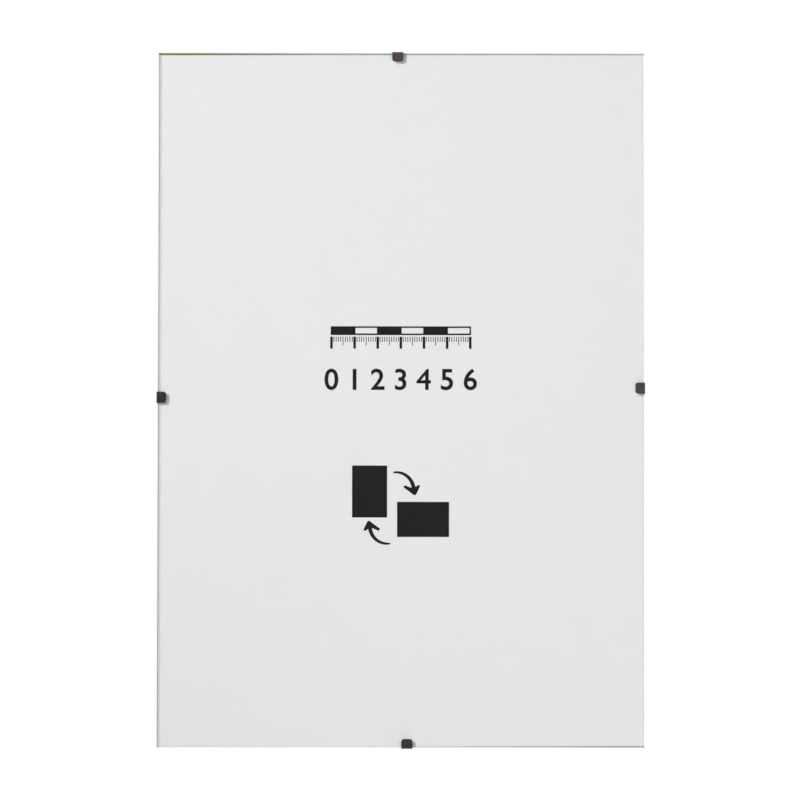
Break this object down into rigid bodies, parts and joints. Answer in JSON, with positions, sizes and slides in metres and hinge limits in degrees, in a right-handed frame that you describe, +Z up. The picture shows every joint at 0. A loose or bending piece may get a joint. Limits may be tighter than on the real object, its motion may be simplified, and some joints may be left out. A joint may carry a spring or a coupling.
{
  "type": "clip frame",
  "caption": "Frameless clip picture frame: bare glass over a picture sheet and a hardboard back, gripped by sprung edge clips, with keyhole hangers for upright or sideways hanging.",
  "frame": {"origin": "centre of the upper hanger's entry hole, half way through its plate", "axes": "+Z up along the height of the upright frame, -Y out of the front of the glass, +Y to the wall, +X to the right as seen from the front"},
  "size_m": [0.211, 0.0081, 0.301],
  "materials": {
    "glass": "clear float glass with ground edges",
    "paper": "smooth printed white sheet",
    "hardboard": "tempered hardboard, screen-textured rear face",
    "clip_steel": "blackened spring steel, satin",
    "zinc_plate": "bright zinc plated sheet steel",
    "rivet_steel": "bright zinc plated rivet"
  },
  "bodies": {
    "frame": {"glass_pane": "glass", "insert_sheet": "paper", "backing_board": "hardboard", "top_hanger_plate": "zinc_plate", "side_hanger_plate": "zinc_plate", "top_hanger_rivet_left": "rivet_steel", "top_hanger_rivet_right": "rivet_steel", "side_hanger_rivet_upper": "rivet_steel", "side_hanger_rivet_lower": "rivet_steel"},
    "clip_top": {"top_clip": "clip_steel"},
    "clip_bottom": {"bottom_clip": "clip_steel"},
    "clip_left": {"left_clip": "clip_steel"},
    "clip_right": {"right_clip": "clip_steel"}
  },
  "joints": [
    {"name": "top_clip_swing", "type": "hinge", "parent": "frame", "child": "clip_top", "pos_m": [-0.0015, -0.0074, 0.0386], "axis": [1, 0, 0], "range_deg": [0, 75], "stiffness_Nm_per_rad": 0.04, "springref_deg": -28.65},
    {"name": "bottom_clip_swing", "type": "hinge", "parent": "frame", "child": "clip_bottom", "pos_m": [0.0028, -0.0074, -0.2546], "axis": [-1, 0, 0], "range_deg": [0, 75], "stiffness_Nm_per_rad": 0.04, "springref_deg": -28.65},
    {"name": "left_clip_swing", "type": "hinge", "parent": "frame", "child": "clip_left", "pos_m": [-0.1016, -0.0074, -0.1073], "axis": [0, 0, 1], "range_deg": [0, 75], "stiffness_Nm_per_rad": 0.04, "springref_deg": -28.65},
    {"name": "right_clip_swing", "type": "hinge", "parent": "frame", "child": "clip_right", "pos_m": [0.1016, -0.0074, -0.1031], "axis": [0, 0, -1], "range_deg": [0, 75], "stiffness_Nm_per_rad": 0.04, "springref_deg": -28.65}
  ]
}
